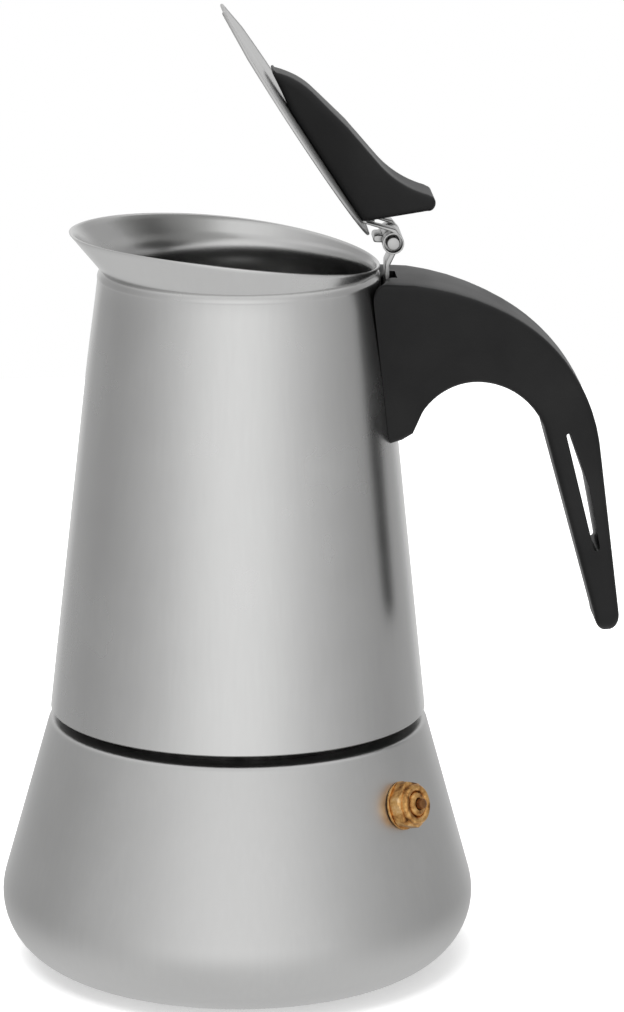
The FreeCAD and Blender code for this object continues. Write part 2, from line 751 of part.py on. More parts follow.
def on_hinge(piece):
    """Stands a lid piece open: its own origin goes to the hinge pin."""
    turn = FreeCAD.Rotation(V(0, 1, 0), value_of(D.lid_open))
    piece.Placement = FreeCAD.Placement(V(value_of(D.pin_x), 0, value_of(D.pin_z)), turn)
    piece.setExpression("Placement.Base.x", D.pin_x.text)
    piece.setExpression("Placement.Base.z", D.pin_z.text)
    piece.setExpression("Placement.Rotation.Angle", D.lid_open.text)
    return piece


def lid():
    """Round lid sheet cut straight at the hinge and at the pouring beak."""
    front = D.lid_front_half
    back = D.lid_back_half
    flank = D.beak_start_half
    body = padded("lid", "XY_Plane", [
        (-D.lid_back, back), Arc(-D.beak_start, flank, D.lid_radius), (-D.lid_front, front),
        (-D.lid_front, -front), (-D.beak_start, -flank), Arc(-D.lid_back, -back, D.lid_radius),
    ], D.lid_wall, start=-D.lid_sink - D.lid_wall, holes=[(-D.knob_screw_at, 0, 1.6)])
    return on_hinge(body)


def lid_leaf():
    """Turning leaf: strip from the lid over the pin, with two outer knuckles."""
    low = -D.lid_sink + 0.02
    top = low + 0.9
    strip = padded("leaf_strip", "XZ_Plane", [
        (-D.leaf_end, low), (-7.6, low), (-2.0, 0.1), (-0.4, D.knuckle_radius - 0.1),
        (-2.0, D.knuckle_radius - 0.3), (-7.0, top), (-D.leaf_end, top),
    ], 2 * D.leaf_half, symmetric=True)
    knuckle = across("leaf_knuckle", D.knuckle_radius, D.leaf_half, 0, 0)
    bore = across("leaf_bore", D.knuckle_bore, 30.0, 0, 0)
    gap = block("leaf_window", (-5.0, -D.leaf_gap, -6.0), (5.0, D.leaf_gap, 6.0))
    blank = joined("leaf_blank", [strip, knuckle])
    rooms = joined("leaf_rooms", [bore, gap])
    return on_hinge(cut("lid_leaf", blank, rooms))


def lid_knob():
    """Moulded thumb grip on the lid: long low nose, hollow back, raised rear tip."""
    low = -D.lid_sink + 0.02
    side = padded("knob_side", "XZ_Plane", [
        (-7.7, low), (-1.2, 11.2), Arc(-2.8, 12.9, 1.6), (-4.6, 12.2),
        Arc(-17.0, 6.8, -21.9), Arc(-36.0, 3.5, 120.0), Arc(-45.6, -1.9, 16.0),
        (-45.4, -2.4), (-35.0, low),
    ], 2 * D.knob_half, symmetric=True)
    plan = padded("knob_plan", "XY_Plane", [
        (2.0, D.knob_half - 1.0), Arc(-26.0, D.knob_half, 90.0), Arc(-46.0, 4.0, 40.0),
        Arc(-46.0, -4.0, 4.6), Arc(-26.0, -D.knob_half, 40.0),
        Arc(2.0, -D.knob_half + 1.0, 90.0),
    ], 30.0, start=-10.0)
    leaf_room = block("knob_leaf_room", (-D.leaf_end - 0.2, -D.leaf_half - 0.1, -8.0),
                      (3.0, D.leaf_half + 0.1, -D.lid_sink + 0.98))
    screw_room = rod("knob_screw_room", 1.52, -8.0, 1.6)
    screw_room.Placement.Base = V(-value_of(D.knob_screw_at), 0, 0)
    rooms = joined("knob_rooms", [leaf_room, screw_room])
    return on_hinge(cut("lid_knob", common("knob_blank", side, plan), rooms))


def knob_screw():
    """Pan-head screw from inside the lid up into the knob."""
    face = -D.lid_sink - D.lid_wall - 0.02
    body = turned("knob_screw_turned", [
        (0, face - 1.2), (1.6, face - 1.2), (2.4, face - 0.7), (2.4, face),
        (1.5, face), (1.5, 1.5), (0, 1.5),
    ])
    body.Placement.Base = V(-value_of(D.knob_screw_at), 0, 0)
    at = -D.knob_screw_at
    slot = block("knob_screw_slot", (at - 0.4, -4.0, -10.0), (at + 0.4, 4.0, face - 0.6))
    return on_hinge(cut("knob_screw", body, slot))


def export(pieces):
    """Checks every object, then writes one STEP file per piece."""
    DOC.recompute()
    for thing in DOC.Objects:
        if {"Invalid", "Error"} & set(thing.State):
            raise RuntimeError(f"{thing.Label} failed: {thing.State}")
    os.makedirs("parts", exist_ok=True)
    for piece in pieces:
        shape = piece.Shape
        if shape.isNull() or not shape.isValid() or len(shape.Solids) != 1:
            raise RuntimeError(f"{piece.Label}: bad shape, {len(shape.Solids)} solids")
        shape.exportStep(f"parts/{piece.Label}.step")
        box = shape.BoundBox
        print(f"{piece.Label:15s} {shape.Volume:9.1f} mm3  x {box.XMin:6.1f} {box.XMax:6.1f}"
              f"  y {box.YMin:6.1f} {box.YMax:6.1f}  z {box.ZMin:6.1f} {box.ZMax:6.1f}")


fill_sheet()
export([
    boiler_shell(), base_disc(), boiler_neck(), *valve_parts(),
    funnel(), funnel_screen(), filter_plate(), gasket(),
    upper_shell(), pot_floor(), thread_ring(), column(), column_cap(),
    handle_bracket(), handle(), handle_screw(), hinge_bracket(), hinge_pin(),
    lid(), lid_leaf(), lid_knob(), knob_screw(),
])
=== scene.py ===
"""The look of the stove-top moka pot: finished pieces, materials, studio and camera.

Shapes are worked out in millimetres in the part's own frame and written in metres.
"""
import json
import math

import bmesh
import bpy
from mathutils import Matrix, Vector
from mathutils.geometry import tessellate_polygon


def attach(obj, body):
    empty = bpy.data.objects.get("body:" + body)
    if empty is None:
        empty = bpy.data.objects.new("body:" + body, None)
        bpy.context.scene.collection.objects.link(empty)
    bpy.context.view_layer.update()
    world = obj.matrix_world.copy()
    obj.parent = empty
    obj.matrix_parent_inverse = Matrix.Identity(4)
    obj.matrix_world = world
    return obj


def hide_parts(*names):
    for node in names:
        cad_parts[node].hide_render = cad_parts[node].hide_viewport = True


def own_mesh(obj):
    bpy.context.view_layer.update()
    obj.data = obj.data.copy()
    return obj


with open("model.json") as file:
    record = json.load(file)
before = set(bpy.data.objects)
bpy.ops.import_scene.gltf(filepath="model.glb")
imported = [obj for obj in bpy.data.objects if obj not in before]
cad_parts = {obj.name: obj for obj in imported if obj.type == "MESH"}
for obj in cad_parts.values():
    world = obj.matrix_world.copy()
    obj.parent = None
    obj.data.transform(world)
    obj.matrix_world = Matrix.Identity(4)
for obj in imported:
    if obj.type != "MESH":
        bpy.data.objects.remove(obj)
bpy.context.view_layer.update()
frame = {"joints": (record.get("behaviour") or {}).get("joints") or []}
joints = {joint["name"]: joint for joint in frame["joints"]}

MM = 0.001
UP = Vector((0, 0, 1))
ROUND = 192          # steps around a large turned piece
SMALL_ROUND = 72     # steps around a small turned piece
HEX_ROUND = 180      # steps around a hexagon, a whole number on each flat

# Sizes shared by several pieces, in millimetres; a pair is a radius and a height.
WALL = 0.8
LIP = WALL / 2         # half thickness of the rounded rim
BOILER_TOP = 55.6
THREAD_PITCH = 3.0
POT_FOOT = (41.65, 57.8)
POT_SHOULDER = (31.21, 154.8)
CREASE = (30.1, 156.35)
PIN = tuple(place / MM for place in joints["lid_hinge"]["pos_m"])
PIN_RADIUS = 1.45
PIN_HALF = 8.0
LID_OPEN = math.radians(56.65)
LID_SINK = 3.1         # outer face of the lid, below the hinge pin when closed
SCREW_AT = 15.6        # knob screw, from the hinge pin
LEAF_END = 12.6        # end of the hinge leaf, from the hinge pin
VALVE_AZIMUTH = math.radians(-40.1)
VALVE_TILT = math.radians(15.36)
VALVE_REACH = 45.44
VALVE_HEIGHT = 42.8


# ---------------------------------------------------------------- outlines

def arc_steps(start, end, radius, step=math.radians(5)):
    """Points along an arc after its start: a positive radius turns left, a negative one right."""
    start, end = Vector(start), Vector(end)
    chord = end - start
    size = abs(radius)
    half = math.asin(min(chord.length / (2 * size), 1.0))
    count = max(2, math.ceil(2 * half / step))
    turn = half if radius > 0 else -half
    points = []
    for index in range(1, count + 1):
        share = index / count
        lean = turn * (share - 1)
        reach = size * 2 * math.sin(half * share)
        heading = math.atan2(chord.y, chord.x) + lean
        points.append((start.x + reach * math.cos(heading), start.y + reach * math.sin(heading)))
    return points


def traced(corners):
    """An outline from (x, y) corners; a third number is the radius of the arc leading there."""
    points = []
    for corner in corners:
        if len(corner) == 3:
            points += arc_steps(points[-1], corner[:2], corner[2])
        else:
            points.append(tuple(corner))
    return points


def softened(corners, radius, steps=5, closed=True):
    """Replaces each corner by a small round, shorter where a side is short."""
    points = []
    count = len(corners)
    for index, corner in enumerate(corners):
        if not closed and index in (0, count - 1):
            points.append(corner)
            continue
        here = Vector(corner)
        before = Vector(corners[index - 1]) - here
        after = Vector(corners[(index + 1) % count]) - here
        reach = min(radius, before.length * 0.45, after.length * 0.45)
        if corner[0] < 1e-6 or reach < 1e-4 or before.angle(after) > math.radians(172):
            points.append(corner)
            continue
        start = here + before.normalized() * reach
        end = here + after.normalized() * reach
        for step in range(steps + 1):
            share = step / steps
            bent = start * (1 - share) ** 2 + here * 2 * share * (1 - share) + end * share ** 2
            points.append((bent.x, bent.y))
    return points


def eased(share):
    """A share from 0 to 1 that starts and stops gently."""
    return share * share * (3 - 2 * share)


def spread(points, count):
    """The same line as evenly spaced points."""
    spans = [(Vector(b) - Vector(a)).length for a, b in zip(points, points[1:])]
    total = sum(spans)
    result = []
    for index in range(count + 1):
        goal = total * index / count
        place = 0
        while place < len(spans) - 1 and goal > spans[place]:
            goal -= spans[place]
            place += 1
        share = min(goal / spans[place], 1.0) if spans[place] else 0.0
        result.append(tuple(Vector(points[place]).lerp(Vector(points[place + 1]), share)))
    return result


# ---------------------------------------------------------------- solids as (points, faces)

def band_faces(rows, around=True, ends=True):
    """Quads between rows of point numbers, with the first and last row closed if asked."""
    faces = []
    pairs = list(zip(rows, rows[1:]))
    if around:
        pairs.append((rows[-1], rows[0]))
    for low, high in pairs:
        count = len(low)
        for step in range(count):
            after = (step + 1) % count
            corners = [low[step], low[after], high[after], high[step]]
            kept = [c for index, c in enumerate(corners) if c not in corners[:index]]
            if len(kept) > 2:
                faces.append(kept)
    if ends and not around:
        faces.append(list(reversed(rows[0])))
        faces.append(list(rows[-1]))
    return faces


def turned(profile, steps=SMALL_ROUND, radius_at=None):
    """Turns a closed (radius, height) loop about Z; radius_at may reshape each ring."""
    points = []
    rows = []
    for radius, height in profile:
        if radius < 1e-6:
            rows.append([len(points)] * steps)
            points.append((0.0, 0.0, height))
            continue
        rows.append(list(range(len(points), len(points) + steps)))
        for step in range(steps):
            angle = 2 * math.pi * step / steps
            reach = radius_at(radius, angle, height) if radius_at else radius
            points.append((reach * math.cos(angle), reach * math.sin(angle), height))
    return points, band_faces(rows)


def plate(outline, low, high, soft=0.2, holes=(), steps=3):
    """A flat piece from a closed (x, y) outline, its upper and lower edges rounded."""
    loops = [outline] + [list(hole) for hole in holes]
    levels = []
    for step in range(steps + 1):
        angle = math.pi / 2 * step / steps
        levels.append((low + soft * (1 - math.sin(angle)), soft * (1 - math.cos(angle))))
    levels = levels[::-1] + [(low + high - z, inset) for z, inset in levels]
    levels = sorted(set(levels))
    points = []
    faces = []
    top_loops = []
    low_loops = []
    for loop in loops:
        rows = []
        for height, inset in levels:
            rows.append(list(range(len(points), len(points) + len(loop))))
            points += [(x, y, height) for x, y in moved_in(loop, inset)]
        faces += band_faces(rows, around=False, ends=False)
        low_loops.append(rows[0])
        top_loops.append(rows[-1])
    for ends in (low_loops, top_loops):
        faces += filled([[points[i] for i in loop] for loop in ends], ends)
    return points, faces


def moved_in(loop, inset):
    """Moves a closed outline to its left, which is inwards when it runs anticlockwise."""
    moved = []
    count = len(loop)
    for index in range(count):
        here = Vector(loop[index])
        back = (here - Vector(loop[index - 1])).normalized()
        ahead = (Vector(loop[(index + 1) % count]) - here).normalized()
        normal = Vector((-(back.y + ahead.y), back.x + ahead.x))
        if normal.length < 1e-6:
            moved.append(loop[index])
            continue
        normal.normalize()
        lean = max(normal.dot(Vector((-back.y, back.x))), 0.5)
        moved.append(tuple(here + normal * (inset / lean)))
    return moved


def filled(loops, numbers):
    """Triangles over a flat outline with holes."""
    flat = [number for loop in numbers for number in loop]
    triangles = tessellate_polygon([[Vector(p) for p in loop] for loop in loops])
    return [[flat[a], flat[b], flat[c]] for a, b, c in triangles]


def rounded_section(bottom, top, half, corner):
    """Points round a section between two (x, z) edges, half wide to each side along Y."""
    low, high = Vector(bottom), Vector(top)
    tall = (high - low).length
    up = (high - low) / tall
    corner = min(corner, tall * 0.45, half * 0.45)
    ring = []
    sides = 8
    quarter = 5
    for turn, (side_y, side_up) in enumerate(((1, 1), (-1, 1), (-1, -1), (1, -1))):
        centre_y = side_y * (half - corner)
        centre_up = tall / 2 + side_up * (tall / 2 - corner)
        for step in range(quarter + 1):
            angle = math.radians(90 * turn + 90 * step / quarter)
            ring.append((centre_y + corner * math.cos(angle), centre_up + corner * math.sin(angle)))
    full = []
    for index, (y, rise) in enumerate(ring):
        full.append((y, rise))
        if index % (quarter + 1) == quarter:
            next_y, next_rise = ring[(index + 1) % len(ring)]
            for step in range(1, sides):
                share = step / sides
                full.append((y + (next_y - y) * share, rise + (next_rise - rise) * share))
    return [(low.x + up.x * rise, y, low.y + up.y * rise) for y, rise in full]


def rounded_end(low, high, half, corner, reach, steps=7):
    """Sections that close a lofted arm with a round end, going on past its last section."""
    low, high = Vector(low), Vector(high)
    centre = (low + high) / 2
    ahead = Vector((high.y - low.y, low.x - high.x)).normalized()
    sections = []
    for step in range(1, steps + 1):
        angle = math.pi / 2 * step / (steps + 1)
        shrink = math.cos(angle)
        move = ahead * reach * math.sin(angle)
        sections.append(rounded_section(
            tuple(centre + (low - centre) * shrink + move),
            tuple(centre + (high - centre) * shrink + move),
            half - abs(reach) * (1 - shrink), corner * max(shrink, 0.3)))
    return sections


def lofted(sections):
    """A closed solid through sections that all have the same number of points."""
    points = []
    rows = []
    for section in sections:
        rows.append(list(range(len(points), len(points) + len(section))))
        points += section
    return points, band_faces(rows, around=False)


def wire_rings(centres, sides, radius, corners=10):
    """Small upright rings round a line, as points and rows of point numbers."""
    points = []
    rows = []
    for centre, side in zip(centres, sides):
        rows.append(list(range(len(points), len(points) + corners)))
        for corner in range(corners):
            angle = 2 * math.pi * corner / corners
            offset = side * math.cos(angle) * radius + UP * math.sin(angle) * radius
            points.append(tuple(centre + offset))
    return points, rows


def upright(solid):
    """Turns a plate drawn in (x, y) so that it stands in the XZ plane, thickness along Y."""
    points, faces = solid
    return [(x, -z, y) for x, y, z in points], faces


def cutting_block(outline, half):
    """A sharp-edged block to cut with, from its outline in XZ and its half width along Y."""
    return upright(plate(outline, -half, half, 0.001, steps=1))


def strip_plate(corners, half, soft, radius):
    """A bent strip seen from the side, its thickness in the outline and its width along Y."""
    return upright(plate(softened(corners, radius), -half, half, soft))


def shifted(solid, x=0.0, y=0.0):
    """Moves a solid sideways."""
    points, faces = solid
    return [(px + x, py + y, pz) for px, py, pz in points], faces


def mirrored(solid):
    """The same solid on the other side of the XZ plane."""
    points, faces = solid
    return [(x, -y, z) for x, y, z in points], faces


def crosswise(solid, x, z):
    """Turns a solid of revolution so that its axis runs along Y at (x, z)."""
    points, faces = solid
    return [(px + x, pz, py + z) for px, py, pz in points], faces


def together(*solids):
    """Several solids as one list of points and faces."""
    points = []
    faces = []
    for more_points, more_faces in solids:
        start = len(points)
        points += more_points
        faces += [[number + start for number in face] for face in more_faces]
    return points, faces


# ---------------------------------------------------------------- pieces

def mesh_object(name, solid, place=None):
    """A mesh object in metres from a solid in millimetres, its faces turned outwards."""
    points, faces = solid
    mesh = bpy.data.meshes.new(name)
    mesh.from_pydata([Vector(p) * MM for p in points], [], faces)
    if place:
        mesh.transform(place)
    work = bmesh.new()
    work.from_mesh(mesh)
    bmesh.ops.remove_doubles(work, verts=work.verts, dist=1e-7)
    bmesh.ops.dissolve_degenerate(work, edges=work.edges, dist=1e-7)
    bmesh.ops.recalc_face_normals(work, faces=work.faces)
    work.to_mesh(mesh)
    work.free()
    thing = bpy.data.objects.new(name, mesh)
    bpy.context.scene.collection.objects.link(thing)
    return thing


def carved(thing, cutters):
    """Cuts solids out of an object for good."""
    helpers = [mesh_object(f"{thing.name}_cut_{index}", solid)
               for index, solid in enumerate(cutters)]
    for helper in helpers:
        tool = thing.modifiers.new("cut", "BOOLEAN")
        tool.operation = "DIFFERENCE"
        tool.solver = "EXACT"
        tool.object = helper
    graph = bpy.context.evaluated_depsgraph_get()
    result = bpy.data.meshes.new_from_object(thing.evaluated_get(graph))
    thing.modifiers.clear()
    old = thing.data
    thing.data = result
    bpy.data.meshes.remove(old)
    for helper in helpers:
        used = helper.data
        bpy.data.objects.remove(helper)
        bpy.data.meshes.remove(used)


def finish_piece(thing, material, body, nodes, sharp=38):
    """Smooth shading with crisp edges, a material, and its place in the frame."""
    mesh = thing.data
    mesh.materials.clear()
    mesh.materials.append(material)
    mesh.shade_smooth()
    mesh.set_sharp_from_angle(angle=math.radians(sharp))
    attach(thing, body)
    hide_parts(*nodes)
    return thing


def add_piece(name, solid, material, body, nodes, place=None, cutters=(), sharp=38):
    """A finished piece that stands for the CAD nodes it replaces."""
    thing = mesh_object(name, solid, place)
    if cutters:
        carved(thing, cutters)
    return finish_piece(thing, material, body, nodes, sharp)


# ---------------------------------------------------------------- materials

class Shader:
    """A node material under construction."""

    def __init__(self, name):
        self.material = bpy.data.materials.new(name)
        self.material.use_nodes = True
        self.nodes = self.material.node_tree.nodes
        self.links = self.material.node_tree.links
        self.skin = self.nodes["Principled BSDF"]
        self.place = self.add("ShaderNodeTexCoord").outputs["Object"]

    def add(self, kind, **settings):
        node = self.nodes.new(kind)
        for key, value in settings.items():
            setattr(node, key, value)
        return node

    def noise(self, scale, detail=3.0, roughness=0.5, stretch=(1, 1, 1)):
        """Noise over the piece's own coordinates, squeezed along each axis by stretch."""
        mapping = self.add("ShaderNodeMapping")
        mapping.inputs["Scale"].default_value = stretch
        self.links.new(self.place, mapping.inputs["Vector"])
        node = self.add("ShaderNodeTexNoise")
        node.inputs["Scale"].default_value = scale
        node.inputs["Detail"].default_value = detail
        node.inputs["Roughness"].default_value = roughness
        self.links.new(mapping.outputs["Vector"], node.inputs["Vector"])
        return node.outputs["Fac"]

    def ranged(self, value, low, high, to_low, to_high):
        """A value carried over from one range to another."""
        node = self.add("ShaderNodeMapRange")
        for key, number in (("From Min", low), ("From Max", high),
                            ("To Min", to_low), ("To Max", to_high)):
            node.inputs[key].default_value = number
        self.links.new(value, node.inputs["Value"])
        return node.outputs["Result"]

    def ramp(self, value, stops):
        """A colour from a value, through (place, colour) stops."""
        node = self.add("ShaderNodeValToRGB")
        while len(node.color_ramp.elements) < len(stops):
            node.color_ramp.elements.new(0.5)
        for element, (place, colour) in zip(node.color_ramp.elements, stops):
            element.position = place
            element.color = (*colour, 1.0)
        self.links.new(value, node.inputs["Fac"])
        return node.outputs["Color"]

    def bump(self, height, depth, strength=1.0, under=None):
        """Fine relief of this depth in metres, on top of another relief if given."""
        node = self.add("ShaderNodeBump")
        node.inputs["Strength"].default_value = strength
        node.inputs["Distance"].default_value = depth
        self.links.new(height, node.inputs["Height"])
        if under:
            self.links.new(under, node.inputs["Normal"])
        return node.outputs["Normal"]

    def to(self, socket, output):
        """Feeds an output into a socket of the surface shader."""
        self.links.new(output, self.skin.inputs[socket])

    def fixed(self, **values):
        """Plain numbers on the surface shader's own sockets."""
        for key, value in values.items():
            self.skin.inputs[key.replace("_", " ")].default_value = value


def grey(level):
    """The very slightly warm grey of stainless steel."""
    return (level, level, level * 0.992)


def steel(name, level=0.6, rough=0.24, upright_grain=True, grain=1.0):
    """Satin stainless steel: fine rubbed grain, cloudy gloss and faint tone changes."""
    shader = Shader(name)
    shader.fixed(Metallic=1.0)
    rubbed = (900, 900, 24) if upright_grain else (60, 900, 60)
    lines = shader.noise(1.0, 4.0, 0.6, rubbed)
    cloud = shader.noise(46.0, 4.0, 0.55)
    tone = shader.add("ShaderNodeMath", operation="MULTIPLY_ADD")
    shader.links.new(lines, tone.inputs[0])
    tone.inputs[1].default_value = 0.35 * grain
    shader.links.new(cloud, tone.inputs[2])
    colour = shader.ramp(tone.outputs["Value"], [
        (0.30, grey(level * 0.94)), (0.75, grey(level)), (1.0, grey(min(level * 1.05, 1.0))),
    ])
    shader.to("Base Color", colour)
    shader.to("Roughness", shader.ranged(cloud, 0.3, 0.7, rough * 0.9, rough * 1.15))
    shader.to("Normal", shader.bump(lines, 0.000012 * grain, 0.6))
    return shader.material


def brass(name):
    """Yellow brass with brown heat stains between brighter rubbed patches."""
    shader = Shader(name)
    shader.fixed(Metallic=1.0)
    blotch = shader.noise(420.0, 4.0, 0.6)
    shader.to("Base Color", shader.ramp(blotch, [
        (0.32, (0.12, 0.050, 0.018)), (0.43, (0.45, 0.22, 0.070)),
        (0.55, (0.74, 0.43, 0.155)), (0.76, (0.97, 0.70, 0.40)),
    ]))
    shader.to("Roughness", shader.ranged(blotch, 0.3, 0.7, 0.52, 0.32))
    fine = shader.noise(2600.0, 2.0)
    shader.to("Normal", shader.bump(fine, 0.00003, 0.5))
    return shader.material


def stained(name, dark, light, rough):
    """Dull metal with stains, for screws and spring; for the threads it is set near black, which is
    painted shade for the gap between the boiler and the upper pot.
    """
    shader = Shader(name)
    shader.fixed(Metallic=1.0)
    blotch = shader.noise(260.0, 4.0, 0.6)
    shader.to("Base Color", shader.ramp(blotch, [(0.32, dark), (0.7, light)]))
    shader.to("Roughness", shader.ranged(blotch, 0.3, 0.7, rough * 1.2, rough * 0.85))
    fine = shader.noise(2400.0, 2.0)
    shader.to("Normal", shader.bump(fine, 0.00002, 0.5))
    return shader.material


def moulded(name, level=0.0115, rough=0.42):
    """Black moulded plastic: a fine grain, rubbed a little smoother in patches."""
    shader = Shader(name)
    shader.fixed(Specular_IOR_Level=0.12)
    patches = shader.noise(55.0, 3.0, 0.5)
    shader.to("Base Color", shader.ramp(patches, [
        (0.3, (level * 0.85, level * 0.85, level * 0.87)), (0.72, (level * 1.25,) * 3),
    ]))
    shader.to("Roughness", shader.ranged(patches, 0.3, 0.7, rough * 1.1, rough * 0.88))
    grain = shader.noise(2200.0, 3.0, 0.6)
    swell = shader.noise(90.0, 2.0)
    under = shader.bump(swell, 0.00006, 0.4)
    shader.to("Normal", shader.bump(grain, 0.000035, 0.6, under))
    return shader.material


def silicone(name):
    """Milky sealing ring with coffee tint and a soft surface."""
    shader = Shader(name)
    shader.fixed(Subsurface_Weight=0.15, Subsurface_Scale=0.002)
    tint = shader.noise(120.0, 3.0)
    shader.to("Base Color", shader.ramp(tint, [
        (0.3, (0.55, 0.52, 0.46)), (0.7, (0.76, 0.75, 0.71)),
    ]))
    shader.to("Roughness", shader.ranged(tint, 0.3, 0.7, 0.6, 0.45))
    fine = shader.noise(1500.0, 2.0)
    shader.to("Normal", shader.bump(fine, 0.00003, 0.5))
    return shader.material


BOILER_STEEL = steel("boiler_steel", 0.60, 0.36)
POT_STEEL = steel("pot_steel", 0.60, 0.25)
LID_STEEL = steel("lid_steel", 0.62, 0.42, upright_grain=False, grain=0.4)
INSIDE_STEEL = steel("inside_steel", 0.50, 0.30)
DISC_STEEL = steel("disc_steel", 0.50, 0.34, upright_grain=False)
SCREEN_STEEL = steel("screen_steel", 0.58, 0.30, upright_grain=False)
HINGE_CHROME = steel("hinge_chrome", 0.52, 0.34, upright_grain=False, grain=0.3)
# Near-black thread steel: painted shade for the dark gap between the boiler's shoulder and the
# upper pot.
PAINTED_SHADE_THREAD_STEEL = stained("thread_steel", (0.015, 0.0147, 0.0144), (0.05, 0.049, 0.048), 0.42)
SCREW_STEEL = stained("screw_steel", (0.30, 0.29, 0.28), (0.55, 0.54, 0.53), 0.30)
PIN_BROWN = stained("poppet_bronze", (0.09, 0.035, 0.012), (0.36, 0.17, 0.07), 0.30)
VALVE_BRASS = brass("valve_brass")
HANDLE_BLACK = moulded("handle_black")
SEAL_SILICONE = silicone("seal_silicone")


# ---------------------------------------------------------------- boiler

def threaded(root, crest, low, high, pitch, start):
    """Ring radii for a helical thread that fades in and out at its ends."""
    def reach(radius, angle, height):
        if abs(radius - root) > 1e-6 or not low < height < high:
            return radius
        phase = ((height - start) / pitch - angle / (2 * math.pi)) % 1.0
        ridge = max(0.0, 1 - abs(phase - 0.5) / 0.30)
        ridge = min(1.0, ridge * 1.6)
        fade = min(1.0, (height - low) / 1.2, (high - height) / 1.2)
        return radius + (crest - root) * ridge * fade
    return reach


def boiler_shell():
    """Round base, cone and flat shoulder as one sheet, open for the neck."""
    foot = (37.5, 0.2)
    widest = (52.05, 19.34)
    shoulder = (41.9, BOILER_TOP)
    neck_hole = 36.85
    widest_inside = (51.25, 19.12)
    floor_top = 3.3
    floor_low = 2.5
    disc_room = 35.2
    side = traced([foot, (*widest, 15.1), shoulder])
    edge = softened([side[-2], shoulder, (neck_hole, BOILER_TOP)], 1.1, closed=False)
    inside = [(neck_hole, BOILER_TOP - WALL), (40.85, BOILER_TOP - WALL), widest_inside]
    floor = arc_steps(widest_inside, (41.7, floor_top), -14.3)
    floor += [(0, floor_top), (0, floor_low), (disc_room, floor_low), (disc_room, foot[1])]
    add_piece("boiler_skin", turned(side[:-1] + edge[1:] + inside + floor, ROUND), BOILER_STEEL,
              "boiler", ["boiler_shell"], sharp=50)


def base_disc():
    """Heat-spreading disc with four shallow rings turned into its underside."""
    radius, thick = 35.0, 2.45
    groove_half, groove_depth = 0.5, 0.25
    profile = [(0, 0)]
    for middle in (8.0, 16.0, 24.0, 31.0):
        profile += [(middle - groove_half, 0.0), (middle, groove_depth),
                    (middle + groove_half, 0.0)]
    profile += softened([(radius - 1, 0), (radius, 0), (radius, thick), (radius - 1, thick)], 0.5,
                        closed=False)
    profile.append((0, thick))
    add_piece("heat_disc", turned(profile, ROUND), DISC_STEEL, "boiler", ["base_disc"])


def boiler_neck():
    """Neck with its male thread, cut in rings fine enough to carry the helix."""
    bore, root, crest = 34.3, 36.8, 37.75
    foot, rim = 52.6, 66.0
    ring_step = 0.125
    profile = [(bore, foot), (root, foot)]
    profile += [(root, 56.0 + ring_step * step) for step in range(77)]
    profile += softened([(root, rim - 0.4), (root, rim), (bore, rim), (bore, rim - 1)], 0.3,
                        closed=False)
    reach = threaded(root, crest, 56.4, 65.2, THREAD_PITCH, 58.1)
    # Its near-black material is painted shade for the gap under the upper pot.
    add_piece("boiler_neck_thread", turned(profile, ROUND, reach), PAINTED_SHADE_THREAD_STEEL, "boiler",
              ["boiler_neck"])


# ---------------------------------------------------------------- safety valve

def hexagon(flat, turn):
    """Ring radii that clip a round body to a hexagon of this half width across flats."""
    def reach(radius, angle, height):
        local = (angle - turn + math.pi / 6) % (math.pi / 3) - math.pi / 6
        return min(radius, flat / math.cos(local))
    return reach


def valve_place():
    """Where the valve's own axis, Z outwards from its seat, stands in the boiler's wall."""
    out = Vector((math.cos(VALVE_AZIMUTH) * math.cos(VALVE_TILT),
                  math.sin(VALVE_AZIMUTH) * math.cos(VALVE_TILT), math.sin(VALVE_TILT)))
    across = Vector((-math.sin(VALVE_AZIMUTH), math.cos(VALVE_AZIMUTH), 0))
    turn = Matrix((across, out.cross(across), out)).transposed()
    base = Vector((VALVE_REACH * math.cos(VALVE_AZIMUTH), VALVE_REACH * math.sin(VALVE_AZIMUTH),
                   VALVE_HEIGHT)) * MM
    return Matrix.Translation(base) @ turn.to_4x4()


def valve_body(place):
    """Hollow body with a shank in the wall, a chamfered hexagon and a rounded boss."""
    hexagon_half = 4.8
    hexagon_turn = math.radians(10)
    shank = [(1.6, -6.0), (4.0, -6.0), (4.0, 0.6)]
    flats = [(5.0, 0.6), (5.25, 0.85)]
    flats += [(5.25, 0.85 + 0.3 * step) for step in range(1, 8)]
    flats += [(5.1, 3.15), (4.85, 3.3), (4.6, 3.4)]
    boss = [(4.4, 3.45), (4.4, 4.1), (4.3, 4.4), (4.0, 4.65), (3.6, 4.7), (3.25, 4.6),
            (2.95, 4.35), (2.75, 4.0)]
    room = [(2.75, -4.6), (1.6, -4.6)]
    add_piece("valve_body_hex",
              turned(shank + flats + boss + room, HEX_ROUND, hexagon(hexagon_half, hexagon_turn)),
              VALVE_BRASS, "boiler", ["valve_body"], place, sharp=32)


def valve_cap_and_pin(place):
    """Pressed cap in the boss, and the poppet whose pin comes out through it."""
    cap = [(1.3, 3.2), (2.7, 3.2), (2.7, 4.1), (2.55, 4.5), (2.2, 4.8), (1.5, 4.95), (1.3, 4.8)]
    add_piece("valve_cap_dome", turned(cap), VALVE_BRASS, "boiler", ["valve_cap"],
              place)
    poppet = [(0, -4.58), (2.4, -4.58), (2.4, -3.4), (1.15, -3.4), (1.15, 5.8), (1.05, 6.1),
              (0.7, 6.3), (0, 6.35)]
    add_piece("valve_pin", turned(poppet), PIN_BROWN, "poppet", ["valve_poppet"],
              place)


